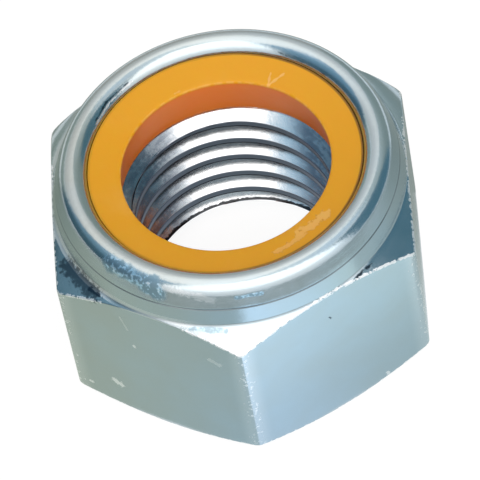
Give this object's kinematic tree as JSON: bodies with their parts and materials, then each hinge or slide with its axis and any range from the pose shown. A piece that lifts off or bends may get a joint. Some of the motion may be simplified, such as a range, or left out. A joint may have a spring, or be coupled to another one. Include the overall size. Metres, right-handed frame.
{
  "type": "nylon insert lock nut",
  "caption": "Hexagon lock nut with a coarse metric thread and a rolled collar that traps a nylon locking ring, which grips the bolt so that the nut can't work loose.",
  "frame": {"origin": "middle of the bearing face, on the thread's axis", "axes": "+Z along the thread's axis, from the bearing face towards the nylon insert; two flats of the hexagon face +X and -X, and a corner points to -Y"},
  "size_m": [0.046, 0.0528, 0.03],
  "materials": {
    "zinc_plated_steel": "blue-white bright zinc plating on steel, softly polished, slightly blotched",
    "nylon": "amber nylon, satin, faintly translucent"
  },
  "bodies": {
    "root": {"nut_body": "zinc_plated_steel", "nylon_insert": "nylon"}
  },
  "joints": []
}
